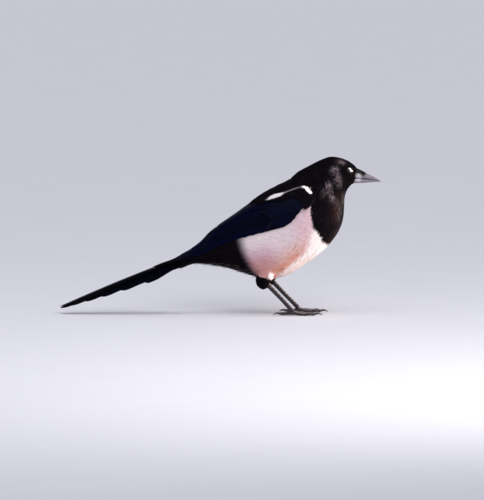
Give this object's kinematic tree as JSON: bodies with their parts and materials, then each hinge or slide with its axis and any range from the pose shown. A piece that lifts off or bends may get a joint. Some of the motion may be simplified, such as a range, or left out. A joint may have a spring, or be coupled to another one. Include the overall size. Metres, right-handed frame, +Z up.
{
  "type": "eurasian magpie",
  "caption": "Still, life-size eurasian magpie standing on both feet, neck drawn in, wings folded, long graduated tail held low behind it.",
  "frame": {"origin": "on the floor under the middle of the bird, halfway between bill tip and tail tip", "axes": "+X towards the bill tip, +Y to the bird's left, +Z up"},
  "size_m": [0.4006, 0.084, 0.1968],
  "materials": {
    "black_plumage": "satin black feathers with a faint brown to violet sheen",
    "white_plumage": "matte white feathers, black on the back, rump and vent",
    "wing_feathers": "glossy blue-black flight feathers and coverts",
    "tail_feathers": "glossy black tail feathers with a green to purple sheen",
    "bill_horn": "satin black horn",
    "eye": "wet, glossy, very dark brown",
    "leg_skin": "satin black scaled skin",
    "claw_horn": "glossy black horn"
  },
  "bodies": {
    "root": {"head": "black_plumage", "neck": "black_plumage", "torso": "white_plumage", "upper_bill": "bill_horn", "lower_bill": "bill_horn", "eye_left": "eye", "eye_right": "eye", "wing_left": "wing_feathers", "wing_right": "wing_feathers", "tail": "tail_feathers", "thigh_left": "black_plumage", "thigh_right": "black_plumage", "tarsus_left": "leg_skin", "tarsus_right": "leg_skin", "foot_left": "leg_skin", "foot_right": "leg_skin", "claw_left_1": "claw_horn", "claw_left_2": "claw_horn", "claw_left_3": "claw_horn", "claw_left_4": "claw_horn", "claw_right_1": "claw_horn", "claw_right_2": "claw_horn", "claw_right_3": "claw_horn", "claw_right_4": "claw_horn", "scapulars_left": "white_plumage", "scapulars_right": "white_plumage"}
  },
  "joints": []
}
